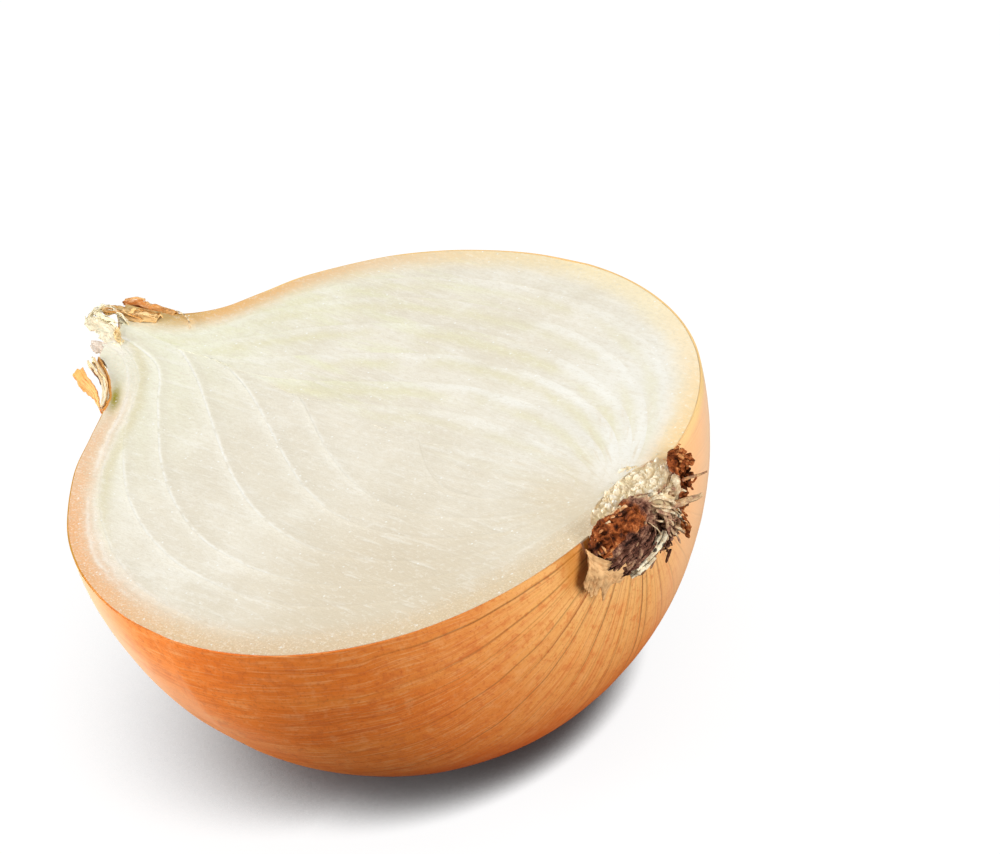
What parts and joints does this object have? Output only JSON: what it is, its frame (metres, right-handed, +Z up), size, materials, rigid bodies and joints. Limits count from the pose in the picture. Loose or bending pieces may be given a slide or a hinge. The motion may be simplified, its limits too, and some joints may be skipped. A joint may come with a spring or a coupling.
{
  "type": "onion half",
  "caption": "Half of a yellow onion cut from neck to root, showing its nested scales, with dry skin, dried roots and a papery neck.",
  "frame": {"origin": "on the flat spot that the round back rests on, straight under the line from neck to root", "axes": "+X towards the roots, -X towards the neck; +Z up, square to the cut face; +Y completes a right-handed frame"},
  "size_m": [0.1062, 0.0856, 0.0436],
  "materials": {
    "dry_skin": "satin, veined along its length",
    "outer_flesh": "moist, translucent",
    "flesh": "moist, translucent",
    "heart": "moist, translucent",
    "stem_plate": "moist, granular",
    "root_crown": "dry, corky and fibrous",
    "dried_root": "dry, matte",
    "root_flap": "dry, papery",
    "neck_paper": "dry, papery",
    "neck_fray": "dry, papery"
  },
  "bodies": {
    "root": {"dry_skin": "dry_skin", "fleshy_scale_1": "outer_flesh", "fleshy_scale_2": "flesh", "fleshy_scale_3": "flesh", "fleshy_scale_4": "flesh", "fleshy_scale_5": "flesh", "fleshy_scale_6": "flesh", "fleshy_scale_7": "flesh", "centre_bud": "heart", "stem_plate": "stem_plate", "root_crown": "root_crown", "root_1": "dried_root", "root_2": "dried_root", "root_3": "dried_root", "root_4": "dried_root", "root_5": "dried_root", "root_6": "dried_root", "root_7": "dried_root", "root_8": "dried_root", "root_9": "dried_root", "root_flap": "root_flap", "neck_paper_far_outer": "neck_paper", "neck_paper_far_inner": "neck_paper", "neck_paper_end": "neck_fray", "neck_paper_small": "neck_fray", "neck_curl_near_inner": "neck_paper", "neck_curl_near_middle": "neck_paper", "neck_curl_near_outer": "neck_paper"}
  },
  "joints": []
}
